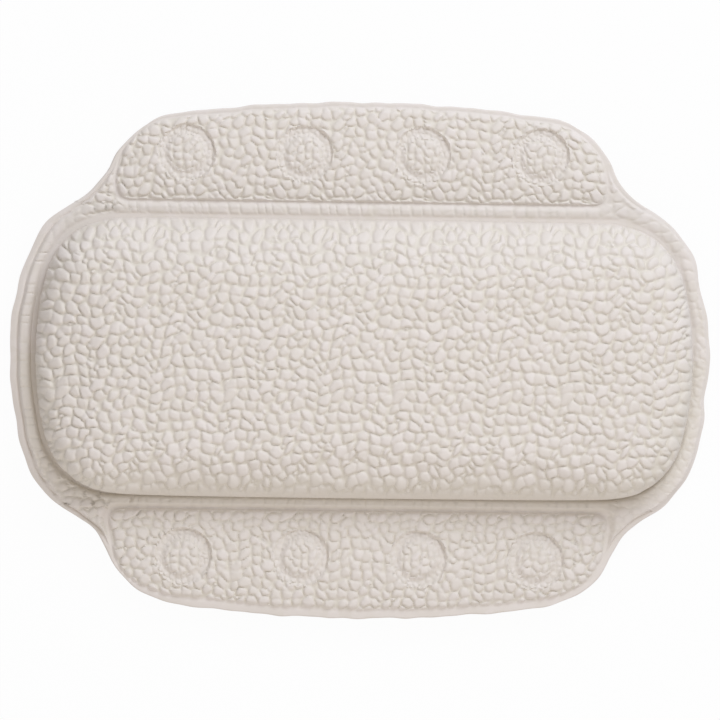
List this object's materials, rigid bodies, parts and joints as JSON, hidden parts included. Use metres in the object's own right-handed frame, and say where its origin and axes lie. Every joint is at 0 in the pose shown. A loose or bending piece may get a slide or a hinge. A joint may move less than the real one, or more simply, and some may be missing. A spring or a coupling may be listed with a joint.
{
  "type": "bath pillow",
  "caption": "Cream pebbled vinyl bath pillow: a crowned foam cushion with a padded fold-back flap on each long edge, held to the tub by suction cups behind the flaps.",
  "frame": {"origin": "middle of the pillow on the plane it rests on: the flat of the back and the rims of the suction cups", "axes": "+Z out of the front face, +X along the pillow, +Y toward the upper flap"},
  "size_m": [0.33, 0.243, 0.0366],
  "materials": {
    "cover_vinyl": "cream foam-backed vinyl, embossed with pebbles, soft satin",
    "back_film": "smooth cream vinyl film, satin",
    "foam": "open-cell polyurethane foam, matt",
    "cup_vinyl": "soft clear vinyl, glossy"
  },
  "bodies": {
    "cushion": {"centre_front_cover": "cover_vinyl", "centre_foam_core": "foam", "centre_back_sheet": "back_film"},
    "upper_flap": {"upper_flap_front_cover": "cover_vinyl", "upper_flap_foam_pad": "foam", "upper_flap_back_sheet": "back_film", "upper_suction_cup_1": "cup_vinyl", "upper_suction_cup_2": "cup_vinyl", "upper_suction_cup_3": "cup_vinyl", "upper_suction_cup_4": "cup_vinyl"},
    "lower_flap": {"lower_flap_front_cover": "cover_vinyl", "lower_flap_foam_pad": "foam", "lower_flap_back_sheet": "back_film", "lower_suction_cup_1": "cup_vinyl", "lower_suction_cup_2": "cup_vinyl", "lower_suction_cup_3": "cup_vinyl", "lower_suction_cup_4": "cup_vinyl"}
  },
  "joints": [
    {"name": "upper_flap_fold", "type": "hinge", "parent": "cushion", "child": "upper_flap", "pos_m": [0, 0.0717, 0.0108], "axis": [1, 0, 0], "range_deg": [-90, 60], "stiffness_Nm_per_rad": 0.08},
    {"name": "lower_flap_fold", "type": "hinge", "parent": "cushion", "child": "lower_flap", "pos_m": [0, -0.0717, 0.0108], "axis": [-1, 0, 0], "range_deg": [-90, 60], "stiffness_Nm_per_rad": 0.08}
  ]
}
